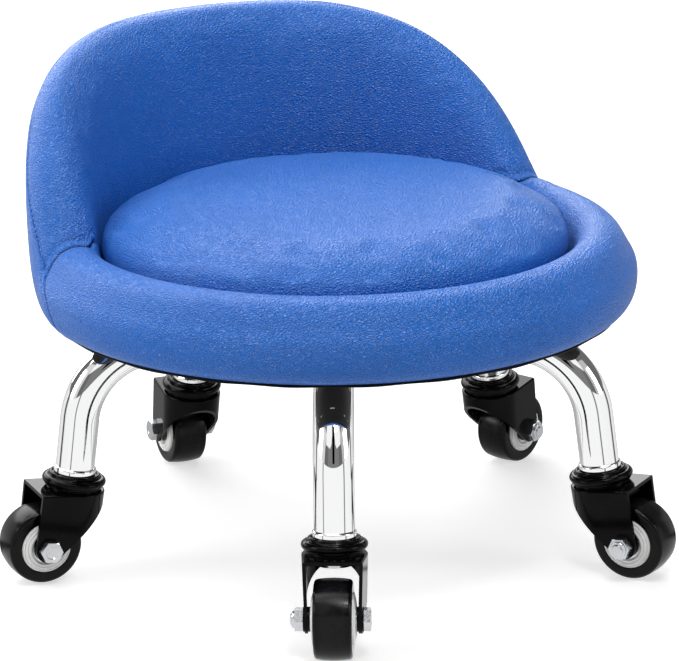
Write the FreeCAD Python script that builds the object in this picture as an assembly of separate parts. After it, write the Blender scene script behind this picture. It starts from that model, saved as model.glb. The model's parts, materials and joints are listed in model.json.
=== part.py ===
import FreeCAD, Part
import math
import os

# Rolling mechanic's seat: a padded round seat with a wrap-around back, on a turntable, on a
# five-legged tube base with a swivel caster under each leg.
# Millimetres. Origin on the floor under the turntable's axis, +Z up, the seat faces -Y.

VECTOR = FreeCAD.Vector
ORIGIN = VECTOR(0, 0, 0)
UP = VECTOR(0, 0, 1)

# ---- base -------------------------------------------------------------------------------------
LEG_COUNT = 5
FIRST_LEG_ANGLE = -119.5        # degrees from +X, seen from above
TUBE_RADIUS = 12.5
TUBE_WALL = 1.5
TUBE_HEIGHT = 148.0             # centreline of the level part of a leg
BEND_RADIUS = 50.0              # centreline of the bend
CASTER_TILT = 7.5               # degrees that a leg's foot leans outwards
FLANGE_RADIUS = 177.8           # centre of a caster's ball race, from the seat's axis
FLANGE_HEIGHT = 63.5            # and from the floor
HUB_CORE_RADIUS = 23.0
HUB_CORE_WALL = 4.0
HUB_PLATE_RADIUS = 78.0
HUB_PLATE_THICKNESS = 3.0
BASE_BOLT_CIRCLE = 62.0

# ---- turntable --------------------------------------------------------------------------------
SHEET = 1.5                     # thickness of both turntable plates
BOTTOM_PLATE_RADIUS = 75.0
TOP_PLATE_SIDE = 142.0
TOP_PLATE_CORNER = 12.0
TURNTABLE_GAP = 3.5             # between the two plates
TURNTABLE_RACE_RADIUS = 48.0
TURNTABLE_BALL_RADIUS = 1.6
TURNTABLE_BALL_COUNT = 30
PIVOT_RADIUS = 6.0
PIVOT_CLEARANCE = 0.08
SEAT_BOLT_OFFSET = 60.0         # each way from the axis

# ---- seat -------------------------------------------------------------------------------------
SEAT_BOARD_RADIUS = 176.0
SEAT_BOARD_THICKNESS = 11.85
BACK_BOARD_THICKNESS = 8.0
BACK_BOARD_HALF_ANGLE = 60.0    # degrees each side of the back's centre
BACK_BOARD_TOP = 302.0
BACK_BOARD_SHOULDER = 252.0     # height of its top edge at its two ends
CUSHION_BOARD_RADIUS = 138.0
CUSHION_BOARD_THICKNESS = 8.0
CUSHION_RADIUS = 148.2
CUSHION_CROWN = 235.6           # height of the cushion's middle
CUSHION_SHOULDER = 231.0        # height of its top where the edge starts to roll over
CUSHION_EDGE_RADIUS = 25.0
SEAM_ANGLE = 77.6               # degrees from the back's centre to the two side seams
PAD_BOTTOM = 167.7
BACK_RISE = 110.8               # how much higher the back is than the front rim
BACK_FALL_POWER = 3.4           # how squarely the back's top edge falls away at its sides
BACK_REACH_ANGLE = 77.2         # degrees at which the back has fallen to the rim
BACK_FALL_SOFTNESS = 0.055
SECTION_STEP = 6.0              # degrees between the sections of a pad
FIT_GAP = 0.15                  # between a pad and a board
COVER_OUTER_RADIUS = 187.0      # of the cloth that closes the underside
COVER_INNER_RADIUS = 103.0
COVER_BOTTOM = 165.2
COVER_THICKNESS = 0.7

# ---- casters, in a frame with +Z up the swivel axis and +X away from the seat's middle ---------
CASTER_TURNS = (-2.0, -13.0, -2.5, -12.0, 8.0)  # degrees each fork is swung from straight out
WHEEL_RADIUS = 25.0
WHEEL_TRAIL = 19.0
TREAD_WIDTH = 23.6
CORE_HALF_WIDTH = 13.6
CORE_RADIUS = 17.0
BEARING_RADIUS = 10.2
BEARING_WIDTH = 6.0
AXLE_RADIUS = 3.95
AXLE_BORE_RADIUS = 4.02
HEX_FLATS = 13.0
HEAD_HEIGHT = 4.3
NUT_HEIGHT = 5.2
CAP_RADIUS = 20.5
CAP_TOP = 4.6
COLLAR_RADIUS = 13.7
COLLAR_HEIGHT = 5.0
STEM_RADIUS = 5.0
STEM_PLUG_LENGTH = 25.0
FORK_SHEET = 2.2
FORK_TOP = -4.5
FORK_FRONT_RADIUS = 20.3
FORK_REAR = 27.0                # trailing edge, from the swivel axis
FORK_REAR_HALF_WIDTH = 18.3
FORK_TAPER = 1.3                # how much closer in the side walls are at their lowest
FORK_FRONT_DEPTH = 6.0          # height of the wall at the leading side
FORK_LOBE_RADIUS = 8.7
FORK_BOSS_RADIUS = 7.6
FORK_BOSS_INNER = 14.1
FORK_BOSS_OUTER = 18.3
FORK_HOLE_RADIUS = 7.5
FORK_RACE_RADIUS = 17.0
FORK_RACE_TOP = -3.0
UPPER_BALL_CIRCLE = 12.0
UPPER_BALL_RADIUS = 1.15
LOWER_BALL_CIRCLE = 9.6
LOWER_BALL_RADIUS = 1.4
LOWER_RACE_TOP = -9.9

# ---- values worked out from the ones above -----------------------------------------------------
TILT = math.radians(CASTER_TILT)
WHEEL_DROP = (FLANGE_HEIGHT + WHEEL_TRAIL * math.sin(TILT) - WHEEL_RADIUS) / math.cos(TILT)
COLLAR_BOTTOM = CAP_TOP + 0.05
TUBE_END = COLLAR_BOTTOM + COLLAR_HEIGHT
HUB_PLATE_BOTTOM = TUBE_HEIGHT + TUBE_RADIUS
HUB_PLATE_TOP = HUB_PLATE_BOTTOM + HUB_PLATE_THICKNESS
BOTTOM_PLATE_TOP = HUB_PLATE_TOP + SHEET
TOP_PLATE_BOTTOM = BOTTOM_PLATE_TOP + TURNTABLE_GAP
TOP_PLATE_TOP = TOP_PLATE_BOTTOM + SHEET
SEAT_BOARD_TOP = TOP_PLATE_TOP + SEAT_BOARD_THICKNESS
CUSHION_BOARD_TOP = SEAT_BOARD_TOP + CUSHION_BOARD_THICKNESS
LEG_ANGLES = [FIRST_LEG_ANGLE + 360.0 / LEG_COUNT * i for i in range(LEG_COUNT)]
BETWEEN_LEGS = [angle + 180.0 / LEG_COUNT for angle in LEG_ANGLES]


def export(shape, name):
    shape.exportStep("parts/" + name + ".step")


def group(solids):
    return Part.makeCompound(solids)


def polar(radius, angle, height=0.0):
    a = math.radians(angle)
    return VECTOR(radius * math.cos(a), radius * math.sin(a), height)


def disc(radius, bottom, top, centre=ORIGIN):
    return Part.makeCylinder(radius, top - bottom, VECTOR(centre.x, centre.y, bottom))


def ring(outer, inner, bottom, top):
    return disc(outer, bottom, top).cut(disc(inner, bottom - 1, top + 1))


def curved_edge(here, middle, there):
    """An arc through three points, or a Bezier curve where its centre is across the axis."""
    arc = Part.Arc(here, middle, there).toShape()
    if arc.Curve.Center.x > 1:
        return arc
    curve = Part.BezierCurve()
    curve.setPoles([here, middle * 2 - (here + there) * 0.5, there])
    return curve.toShape()


def revolved(outline):
    """Turn a closed outline about the Z axis. A step is the next corner's radius and height,
    with the radius and height of a point on the way there if the edge to it is curved."""
    edges = []
    here = VECTOR(outline[0][0], 0, outline[0][1])
    for step in outline[1:] + outline[:1]:
        there = VECTOR(step[0], 0, step[1])
        if len(step) == 4:
            edges.append(curved_edge(here, VECTOR(step[2], 0, step[3]), there))
        else:
            edges.append(Part.makeLine(here, there))
        here = there
    face = Part.Face(Part.Wire(edges))
    return face.revolve(ORIGIN, UP, 360)


def hexagon(flats, thickness, chamfer):
    """A hexagon along +Z from 0, its top corners rounded off by a cone."""
    corner = flats / math.sqrt(3)
    points = [polar(corner, 60 * i) for i in range(7)]
    prism = Part.Face(Part.makePolygon(points)).extrude(VECTOR(0, 0, thickness))
    edge = flats / 2 + 0.15
    drop = (corner - edge) * chamfer
    cone = revolved([(0, -1), (corner + 1, -1), (corner + 1, thickness - drop - chamfer),
                     (edge, thickness), (0, thickness)])
    return prism.common(cone)


def to_caster(shape, leg_angle, turn=0.0):
    """Move a shape from the caster's own frame to its place under one leg."""
    placed = shape.copy()
    placed.rotate(ORIGIN, UP, turn)
    placed.rotate(ORIGIN, VECTOR(0, 1, 0), -CASTER_TILT)
    placed.translate(VECTOR(FLANGE_RADIUS, 0, FLANGE_HEIGHT))
    placed.rotate(ORIGIN, UP, leg_angle)
    return placed


def to_wheel(shape):
    """Move a shape made about +Z to the wheel's axle, in the caster's frame."""
    placed = shape.copy()
    placed.rotate(ORIGIN, VECTOR(1, 0, 0), -90)
    placed.translate(VECTOR(WHEEL_TRAIL, 0, -WHEEL_DROP))
    return placed


# ---- base -------------------------------------------------------------------------------------
def leg_path():
    """A leg's centreline in the XZ plane: level, bent down, then straight to the caster."""
    reach = FLANGE_RADIUS - (TUBE_HEIGHT - FLANGE_HEIGHT) * math.tan(TILT)
    down = VECTOR(math.sin(TILT), 0, -math.cos(TILT))
    turn = math.pi / 2 - TILT
    tangent = BEND_RADIUS * math.tan(turn / 2)
    corner = VECTOR(reach, 0, TUBE_HEIGHT)
    bend_start = corner - VECTOR(tangent, 0, 0)
    bend_end = corner + down * tangent
    centre = bend_start - VECTOR(0, 0, BEND_RADIUS)
    half = math.pi / 2 - turn / 2
    middle = centre + VECTOR(math.cos(half), 0, math.sin(half)) * BEND_RADIUS
    foot = VECTOR(FLANGE_RADIUS, 0, FLANGE_HEIGHT) - down * TUBE_END
    return Part.Wire([
        Part.makeLine(VECTOR(HUB_CORE_RADIUS - 3, 0, TUBE_HEIGHT), bend_start),
        Part.Arc(bend_start, middle, bend_end).toShape(),
        Part.makeLine(bend_end, foot),
    ])


def swept_tube(radius):
    start = VECTOR(HUB_CORE_RADIUS - 3, 0, TUBE_HEIGHT)
    profile = Part.Wire(Part.makeCircle(radius, start, VECTOR(1, 0, 0)))
    return leg_path().makePipeShell([profile], True, False)


def make_leg():
    tube = swept_tube(TUBE_RADIUS).cut(swept_tube(TUBE_RADIUS - TUBE_WALL))
    hub = disc(HUB_CORE_RADIUS, TUBE_HEIGHT - 30, TUBE_HEIGHT + 30)
    return tube.cut(hub)


def make_hub_core():
    return ring(HUB_CORE_RADIUS, HUB_CORE_RADIUS - HUB_CORE_WALL,
                TUBE_HEIGHT - TUBE_RADIUS, HUB_PLATE_BOTTOM)


def make_hub_plate():
    plate = disc(HUB_PLATE_RADIUS, HUB_PLATE_BOTTOM, HUB_PLATE_TOP)
    for angle in BETWEEN_LEGS:
        centre = polar(BASE_BOLT_CIRCLE, angle)
        plate = plate.cut(disc(3.1, HUB_PLATE_BOTTOM - 1, HUB_PLATE_TOP + 1, centre))
    return plate


def make_base_bolts():
    """Five low-headed bolts and their nuts, through the hub plate and the bottom plate."""
    solids = []
    for angle in BETWEEN_LEGS:
        centre = polar(BASE_BOLT_CIRCLE, angle)
        head = revolved([(0, 0), (5.2, 0), (5.2, 0.9), (3.2, 2.2), (0, 2.2)])
        head.translate(centre + VECTOR(0, 0, BOTTOM_PLATE_TOP))
        shank = disc(2.95, HUB_PLATE_BOTTOM - 6.5, BOTTOM_PLATE_TOP, centre)
        nut = hexagon(10.0, 4.6, 0.5).cut(disc(3.0, -1, 6))
        nut.rotate(ORIGIN, VECTOR(1, 0, 0), 180)
        nut.translate(centre + VECTOR(0, 0, HUB_PLATE_BOTTOM))
        solids += [head.fuse(shank).removeSplitter(), nut]
    return group(solids)


# ---- turntable --------------------------------------------------------------------------------
def make_swivel_bottom_plate():
    plate = disc(BOTTOM_PLATE_RADIUS, HUB_PLATE_TOP, BOTTOM_PLATE_TOP)
    race = ring(TURNTABLE_RACE_RADIUS + 5, TURNTABLE_RACE_RADIUS + 3, BOTTOM_PLATE_TOP - 0.5,
                BOTTOM_PLATE_TOP + 1.6)
    inner_race = ring(TURNTABLE_RACE_RADIUS - 3, TURNTABLE_RACE_RADIUS - 5,
                      BOTTOM_PLATE_TOP - 0.5, BOTTOM_PLATE_TOP + 1.6)
    plate = plate.fuse([race, inner_race]).removeSplitter()
    plate = plate.cut(disc(PIVOT_RADIUS, HUB_PLATE_TOP - 1, BOTTOM_PLATE_TOP + 1))
    for angle in BETWEEN_LEGS:
        centre = polar(BASE_BOLT_CIRCLE, angle)
        plate = plate.cut(disc(3.1, HUB_PLATE_TOP - 1, BOTTOM_PLATE_TOP + 1, centre))
    return plate


def make_swivel_pivot():
    """The rivet that holds the two plates together: a foot, a shank and a rolled head."""
    foot = disc(PIVOT_RADIUS, HUB_PLATE_TOP, BOTTOM_PLATE_TOP)
    shank = disc(PIVOT_RADIUS, BOTTOM_PLATE_TOP, TOP_PLATE_TOP + 0.3)
    head = revolved([(0, 0), (9.5, 0), (9.5, 0.8), (7.5, 1.8), (0, 1.8)])
    head.translate(VECTOR(0, 0, TOP_PLATE_TOP + 0.3))
    return foot.fuse([shank, head]).removeSplitter()


def make_swivel_balls():
    height = BOTTOM_PLATE_TOP + TURNTABLE_GAP / 2
    balls = []
    for i in range(TURNTABLE_BALL_COUNT):
        centre = polar(TURNTABLE_RACE_RADIUS, 360.0 / TURNTABLE_BALL_COUNT * i, height)
        balls.append(Part.makeSphere(TURNTABLE_BALL_RADIUS, centre))
    return group(balls)


def seat_bolt_centres():
    return [VECTOR(x, y, 0) for x in (-SEAT_BOLT_OFFSET, SEAT_BOLT_OFFSET)
            for y in (-SEAT_BOLT_OFFSET, SEAT_BOLT_OFFSET)]


def make_swivel_top_plate():
    half = TOP_PLATE_SIDE / 2
    plate = Part.makeBox(2 * half, 2 * half, SHEET, VECTOR(-half, -half, TOP_PLATE_BOTTOM))
    corners = [e for e in plate.Edges if abs(e.Vertexes[0].X - e.Vertexes[1].X) < 1e-6
               and abs(e.Vertexes[0].Y - e.Vertexes[1].Y) < 1e-6]
    plate = plate.makeFillet(TOP_PLATE_CORNER, corners)
    plate = plate.cut(disc(PIVOT_RADIUS + PIVOT_CLEARANCE, TOP_PLATE_BOTTOM - 1,
                           TOP_PLATE_TOP + 1))
    for centre in seat_bolt_centres():
        plate = plate.cut(disc(3.1, TOP_PLATE_BOTTOM - 1, TOP_PLATE_TOP + 1, centre))
    return plate


def make_seat_bolts():
    bolts = []
    for centre in seat_bolt_centres():
        head = revolved([(0, 0), (3.4, 0), (5.2, 1.0), (5.2, 2.2), (0, 2.2)])
        head.translate(centre + VECTOR(0, 0, TOP_PLATE_BOTTOM - 2.2))
        shank = disc(2.95, TOP_PLATE_BOTTOM, SEAT_BOARD_TOP - 2.0, centre)
        bolts.append(head.fuse(shank).removeSplitter())
    return group(bolts)


def make_t_nuts():
    nuts = []
    for centre in seat_bolt_centres():
        barrel = disc(4.5, TOP_PLATE_TOP + 2, SEAT_BOARD_TOP, centre)
        flange = disc(9.0, SEAT_BOARD_TOP - 1.2, SEAT_BOARD_TOP, centre)
        bore = disc(3.0, TOP_PLATE_TOP, SEAT_BOARD_TOP + 1, centre)
        nuts.append(barrel.fuse(flange).removeSplitter().cut(bore))
    return group(nuts)


# ---- seat boards ------------------------------------------------------------------------------
def screw_angles():
    """Where the back board's screws are: degrees from +X, spread round the back."""
    spread = BACK_BOARD_HALF_ANGLE - 10
    return [90 + spread * k / 2 for k in range(-2, 3)]


def cushion_screw_centres():
    return [polar(110, 45 + 90 * i) for i in range(4)]


def make_seat_board():
    board = disc(SEAT_BOARD_RADIUS, TOP_PLATE_TOP, SEAT_BOARD_TOP)
    board = board.cut(disc(11, TOP_PLATE_TOP - 1, TOP_PLATE_TOP + 3.5))
    for centre in seat_bolt_centres():
        board = board.cut(disc(4.5, TOP_PLATE_TOP - 1, SEAT_BOARD_TOP + 1, centre))
        board = board.cut(disc(9.0, SEAT_BOARD_TOP - 1.2, SEAT_BOARD_TOP + 1, centre))
    for centre in cushion_screw_centres():
        board = board.cut(disc(2.1, TOP_PLATE_TOP - 1, SEAT_BOARD_TOP + 1, centre))
    for angle in screw_angles():
        board = board.cut(radial_rod(2.0, SEAT_BOARD_RADIUS - 22, SEAT_BOARD_RADIUS + 1, angle))
    return board


def radial_rod(radius, start, end, angle):
    height = (TOP_PLATE_TOP + SEAT_BOARD_TOP) / 2
    return Part.makeCylinder(radius, end - start, polar(start, angle, height), polar(1, angle))


def back_board_blank():
    """A bent plywood former: part of a tube, its top edge falling in an arc to both ends."""
    inner = SEAT_BOARD_RADIUS + FIT_GAP
    outer = inner + BACK_BOARD_THICKNESS
    shell = ring(outer, inner, TOP_PLATE_TOP, BACK_BOARD_TOP + 10)
    end = outer * math.sin(math.radians(BACK_BOARD_HALF_ANGLE))
    near = inner * math.cos(math.radians(BACK_BOARD_HALF_ANGLE))
    top = Part.Arc(VECTOR(end, near, BACK_BOARD_SHOULDER), VECTOR(0, near, BACK_BOARD_TOP),
                   VECTOR(-end, near, BACK_BOARD_SHOULDER)).toShape()
    foot = TOP_PLATE_TOP
    sides = Part.makePolygon([VECTOR(-end, near, BACK_BOARD_SHOULDER), VECTOR(-end, near, foot),
                              VECTOR(end, near, foot), VECTOR(end, near, BACK_BOARD_SHOULDER)])
    face = Part.Face(Part.Wire([top] + sides.Edges))
    return shell.common(face.extrude(VECTOR(0, outer, 0)))


def make_back_board():
    board = back_board_blank()
    inner = SEAT_BOARD_RADIUS + FIT_GAP
    for angle in screw_angles():
        board = board.cut(radial_rod(2.1, inner - 1, inner + BACK_BOARD_THICKNESS + 1, angle))
    return board


def make_cushion_board():
    board = disc(CUSHION_BOARD_RADIUS, SEAT_BOARD_TOP, CUSHION_BOARD_TOP)
    for centre in cushion_screw_centres():
        board = board.cut(disc(2.0, SEAT_BOARD_TOP - 1, SEAT_BOARD_TOP + 6, centre))
    return board


def make_board_screws():
    """Screws up into the cushion board, and level ones through the back board's foot."""
    screws = []
    for centre in cushion_screw_centres():
        shank = disc(2.0, TOP_PLATE_TOP, SEAT_BOARD_TOP + 6, centre)
        head = revolved([(0, 0), (4.0, 0), (4.0, -0.4), (2.2, -0.65), (0, -0.65)])
        head.translate(centre + VECTOR(0, 0, TOP_PLATE_TOP))
        screws.append(shank.fuse(head).removeSplitter())
    outer = SEAT_BOARD_RADIUS + FIT_GAP + BACK_BOARD_THICKNESS
    for angle in screw_angles():
        shank = radial_rod(2.0, SEAT_BOARD_RADIUS - 22, outer, angle)
        head = radial_rod(3.9, outer + 0.02, outer + 1.6, angle)
        tip = radial_rod(1.9, outer - 2, outer + 0.5, angle)
        screws.append(shank.fuse([tip, head]).removeSplitter())
    return group(screws)


def make_dust_cover():
    """The cloth under the seat, over the pads' turned-in edges, cut out round the turntable."""
    return ring(COVER_OUTER_RADIUS, COVER_INNER_RADIUS, COVER_BOTTOM,
                COVER_BOTTOM + COVER_THICKNESS)


# ---- pads -------------------------------------------------------------------------------------
def back_lift(angle):
    """From 0 on the front rim to 1 at the back's centre, angle degrees from that centre."""
    fall = 1 - (abs(angle) / BACK_REACH_ANGLE) ** BACK_FALL_POWER
    return 0.5 * (fall + math.sqrt(fall * fall + BACK_FALL_SOFTNESS ** 2))


def pad_section(angle):
    """Control points (radius, height) of the pad's outline, angle degrees from the back."""
    lift = back_lift(angle)
    rise = BACK_RISE * lift
    return [
        (146, PAD_BOTTOM),
        (150, 190 + 0.10 * rise),
        (153 + 2 * lift, 198.8 + 0.45 * rise),
        (156 + 8.2 * lift, 211.8 + 0.85 * rise),
        (166 + 9.2 * lift, 218.8 + 1.02 * rise),
        (183 + 14.9 * lift, 215.8 + 1.02 * rise),
        (189.8 + 15.9 * lift, 199.8 + 0.90 * rise),
        (194.8 + 6.4 * lift, 194.6 + 0.55 * rise),
        (194.8 + 3 * lift, 175.3 + 0.15 * rise),
        (184.8 + 2 * lift, PAD_BOTTOM - 3),
        (168, PAD_BOTTOM - 1),
    ]


def section_wire(angle):
    """The pad's outline as a closed smooth curve, standing in the plane at that angle."""
    poles = []
    for radius, height in pad_section(angle):
        poles.append(polar(radius, 90 + angle, height))
    count = len(poles)
    curve = Part.BSplineCurve()
    curve.buildFromPolesMultsKnots(poles, [1] * (count + 1), list(range(count + 1)), True, 3)
    return Part.Wire(curve.toShape())


def make_pad(first, last):
    """A pad from one angle to another, seen from the back's centre."""
    steps = int(round((last - first) / SECTION_STEP))
    wires = [section_wire(first + (last - first) * i / steps) for i in range(steps + 1)]
    pad = Part.makeLoft(wires, True, False)
    room = disc(SEAT_BOARD_RADIUS + FIT_GAP, PAD_BOTTOM - 20, SEAT_BOARD_TOP + FIT_GAP)
    return pad.cut(room)


def make_back_pad():
    pad = make_pad(-SEAM_ANGLE, SEAM_ANGLE)
    outer = SEAT_BOARD_RADIUS + BACK_BOARD_THICKNESS + 2 * FIT_GAP
    pad = pad.cut(back_board_blank())
    for angle in screw_angles():
        pad = pad.cut(radial_rod(4.1, outer - 1, outer + 1.8, angle))
    return pad


def make_rim_pad():
    return make_pad(SEAM_ANGLE, 360 - SEAM_ANGLE)


def make_seat_cushion():
    """A round cushion: a slightly crowned top, a rolled edge, sides that pull in below."""
    roll = CUSHION_EDGE_RADIUS
    shoulder = CUSHION_RADIUS - roll
    bottom = CUSHION_BOARD_TOP + FIT_GAP
    middle_top = CUSHION_CROWN - (CUSHION_CROWN - CUSHION_SHOULDER) / 4
    diagonal = roll * math.cos(math.radians(45))
    return revolved([
        (0, bottom),
        (CUSHION_RADIUS - 7, bottom),
        (CUSHION_RADIUS, CUSHION_SHOULDER - roll, CUSHION_RADIUS - 1.6, bottom + 6),
        (shoulder, CUSHION_SHOULDER, shoulder + diagonal, CUSHION_SHOULDER - roll + diagonal),
        (0, CUSHION_CROWN, shoulder / 2, middle_top),
    ])


# ---- casters ----------------------------------------------------------------------------------
def make_collar():
    inner = STEM_RADIUS + 0.05
    return revolved([
        (inner, COLLAR_BOTTOM), (COLLAR_RADIUS - 1.1, COLLAR_BOTTOM),
        (COLLAR_RADIUS, COLLAR_BOTTOM + 1.4, COLLAR_RADIUS - 0.25, COLLAR_BOTTOM + 0.5),
        (COLLAR_RADIUS, COLLAR_BOTTOM + 3.0),
        (COLLAR_RADIUS - 1.2, TUBE_END - 0.05, COLLAR_RADIUS - 0.3, COLLAR_BOTTOM + 4.3),
        (inner, TUBE_END - 0.05),
    ])


def make_stem():
    """The stem's plug in the tube, its shank, the lower race and the riveted end."""
    plug_radius = TUBE_RADIUS - TUBE_WALL - 0.1
    race_bottom = LOWER_RACE_TOP - 2.0
    return revolved([
        (0, race_bottom - 1.6), (5.6, race_bottom - 1.6), (7.0, race_bottom - 0.6),
        (7.0, race_bottom), (11.6, race_bottom), (11.6, LOWER_RACE_TOP),
        (STEM_RADIUS, LOWER_RACE_TOP), (STEM_RADIUS, TUBE_END),
        (plug_radius, TUBE_END), (plug_radius, TUBE_END + STEM_PLUG_LENGTH - 1.5),
        (plug_radius - 1.5, TUBE_END + STEM_PLUG_LENGTH), (0, TUBE_END + STEM_PLUG_LENGTH),
    ])


def make_race_cap():
    """A pressed cap: a raised inner lip, a sunk ring, a rolled shoulder and a short skirt."""
    roof = UPPER_BALL_RADIUS * 2 + 0.3 + FORK_RACE_TOP
    inner = STEM_RADIUS + 0.05
    return revolved([
        (inner, roof), (inner, CAP_TOP), (COLLAR_RADIUS + 0.4, CAP_TOP),
        (16.4, CAP_TOP, 15.25, CAP_TOP + 1.1),
        (17.4, CAP_TOP - 1.2, 17.0, CAP_TOP - 0.8),
        (CAP_RADIUS - 1.2, 2.9, 18.4, 3.35),
        (CAP_RADIUS - 0.7, -1.0, CAP_RADIUS, 1.0),
        (CAP_RADIUS - 1.6, -1.5), (CAP_RADIUS - 1.6, -2.4), (17.9, -2.4), (17.9, roof),
    ])


def ball_ring(circle, radius, height, count):
    return [Part.makeSphere(radius, polar(circle, 360.0 / count * i, height))
            for i in range(count)]


def make_ball_set():
    upper = ball_ring(UPPER_BALL_CIRCLE, UPPER_BALL_RADIUS,
                      FORK_RACE_TOP + UPPER_BALL_RADIUS + 0.15, 14)
    lower_height = LOWER_RACE_TOP + LOWER_BALL_RADIUS + 0.02
    return upper + ball_ring(LOWER_BALL_CIRCLE, LOWER_BALL_RADIUS, lower_height, 12)


def fork_outline(height, inset, taper, rear):
    """The fork seen from above: round at the leading side, straight flanks to the rear."""
    radius = FORK_FRONT_RADIUS - inset - taper
    half = FORK_REAR_HALF_WIDTH - inset - taper
    reach = math.hypot(FORK_REAR, half)
    tangent = math.acos(radius / reach) + math.atan2(half, FORK_REAR)
    touch = VECTOR(radius * math.cos(tangent), radius * math.sin(tangent), height)
    slope = (half - touch.y) / (FORK_REAR - touch.x)
    corner = VECTOR(rear, half + slope * (rear - FORK_REAR), height)
    mirror_touch = VECTOR(touch.x, -touch.y, height)
    mirror_corner = VECTOR(corner.x, -corner.y, height)
    return Part.Wire([
        Part.makeLine(mirror_corner, corner),
        Part.makeLine(corner, touch),
        Part.Arc(touch, VECTOR(-radius, 0, height), mirror_touch).toShape(),
        Part.makeLine(mirror_touch, mirror_corner),
    ])


def fork_side_profile():
    """The fork seen from the side: a short front wall, a slanting edge, and the axle lobe."""
    front = -FORK_FRONT_RADIUS - 1
    front_low = VECTOR(front, 0, FORK_TOP - FORK_FRONT_DEPTH)
    centre = VECTOR(WHEEL_TRAIL, 0, -WHEEL_DROP)
    away = centre - front_low
    spread = math.acos(FORK_LOBE_RADIUS / away.Length)
    bearing = math.atan2(-away.z, -away.x) + spread
    touch = centre + VECTOR(math.cos(bearing), 0, math.sin(bearing)) * FORK_LOBE_RADIUS
    low = centre - VECTOR(0, 0, FORK_LOBE_RADIUS)
    rear = centre + VECTOR(FORK_LOBE_RADIUS, 0, 0)
    rear_top = VECTOR(FORK_REAR, 0, FORK_RACE_TOP + 2)
    front_top = VECTOR(front, 0, FORK_RACE_TOP + 2)
    edges = [Part.makeLine(front_top, front_low), Part.makeLine(front_low, touch),
             Part.Arc(touch, low, rear).toShape(), Part.makeLine(rear, rear_top),
             Part.makeLine(rear_top, front_top)]
    face = Part.Face(Part.Wire(edges))
    face.translate(VECTOR(0, -30, 0))
    return face.extrude(VECTOR(0, 60, 0))


def boss(side):
    length = FORK_BOSS_OUTER - FORK_BOSS_INNER
    start = VECTOR(WHEEL_TRAIL, side * FORK_BOSS_INNER, -WHEEL_DROP)
    return Part.makeCylinder(FORK_BOSS_RADIUS, length, start, VECTOR(0, side, 0))


def make_fork():
    bottom = -WHEEL_DROP - FORK_LOBE_RADIUS - 2
    roof = FORK_TOP - FORK_SHEET
    outer = Part.makeLoft([fork_outline(FORK_TOP, 0, 0, FORK_REAR + 3),
                           fork_outline(bottom, 0, FORK_TAPER, FORK_REAR + 3)], True, True)
    top_edges = [e for e in outer.Edges
                 if all(abs(v.Z - FORK_TOP) < 1e-6 for v in e.Vertexes)
                 and max(v.X for v in e.Vertexes) - min(v.X for v in e.Vertexes) > 1]
    top_edges += [e for e in outer.Edges if abs(e.BoundBox.ZMin - FORK_TOP) < 1e-3
                  and e.BoundBox.XMin < -FORK_FRONT_RADIUS + 1]
    outer = outer.makeFillet(1.2, top_edges)
    inner = Part.makeLoft([fork_outline(roof, FORK_SHEET, 0, FORK_REAR + 8),
                           fork_outline(bottom - 1, FORK_SHEET, FORK_TAPER, FORK_REAR + 8)],
                          True, True)
    race = revolved([(0, FORK_TOP - 1), (FORK_RACE_RADIUS, FORK_TOP - 1),
                     (FORK_RACE_RADIUS, FORK_RACE_TOP - 0.9),
                     (FORK_RACE_RADIUS - 0.9, FORK_RACE_TOP, FORK_RACE_RADIUS - 0.26,
                      FORK_RACE_TOP - 0.26),
                     (0, FORK_RACE_TOP)])
    fork = outer.cut(inner).common(fork_side_profile())
    fork = fork.fuse([race, boss(1), boss(-1)]).removeSplitter()
    fork = fork.cut(disc(FORK_HOLE_RADIUS, roof - 1, FORK_RACE_TOP + 1))
    axle_hole = Part.makeCylinder(AXLE_BORE_RADIUS, 60, VECTOR(WHEEL_TRAIL, -30, -WHEEL_DROP),
                                  VECTOR(0, 1, 0))
    return fork.cut(axle_hole)


def make_tyre():
    """A moulded tread: a low crown, round shoulders, flat sides and a seat for the core."""
    half = TREAD_WIDTH / 2
    seat = CORE_RADIUS - 0.5
    shoulder = WHEEL_RADIUS - 0.7
    return revolved([
        (seat, -half + 0.4), (CORE_RADIUS + 1.5, -half),
        (shoulder - 2.6, -half),
        (shoulder, -half + 2.6, shoulder - 0.76, -half + 0.76),
        (shoulder, half - 2.6, WHEEL_RADIUS, 0),
        (shoulder - 2.6, half, shoulder - 0.76, half - 0.76),
        (CORE_RADIUS + 1.5, half), (seat, half - 0.4),
    ])


def make_wheel_core():
    """A moulded core: two ribbed faces round the bearing seats, a web between them."""
    seat = CORE_RADIUS - 0.55
    face = CORE_HALF_WIDTH
    upper = [
        (seat, TREAD_WIDTH / 2 - 0.4), (seat - 0.4, face - 1.0), (seat - 1.4, face - 0.7),
        (seat - 1.8, face - 1.2), (seat - 2.4, face - 0.5), (seat - 3.4, face - 0.25),
        (seat - 3.8, face - 0.8), (seat - 4.4, face - 0.1), (BEARING_RADIUS + 0.9, face),
        (BEARING_RADIUS + 0.05, face - 0.6), (BEARING_RADIUS + 0.05, face - 0.8 - BEARING_WIDTH),
        (7.0, face - 0.8 - BEARING_WIDTH),
    ]
    lower = [(radius, -height) for radius, height in reversed(upper)]
    return revolved(upper + lower)


def make_bearing():
    """A sealed ball bearing from z = 0 up: two rings and a sunk seal."""
    width = BEARING_WIDTH
    rim = BEARING_RADIUS - 1.5
    hub = AXLE_BORE_RADIUS + 1.5
    return revolved([
        (AXLE_BORE_RADIUS, 0), (hub, 0), (hub, 0.5), (rim, 0.5), (rim, 0), (BEARING_RADIUS, 0),
        (BEARING_RADIUS, width - 0.3), (BEARING_RADIUS - 0.3, width), (rim, width),
        (rim, width - 0.6), (hub, width - 0.6), (hub, width + 0.3), (AXLE_BORE_RADIUS, width + 0.3),
    ])


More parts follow.
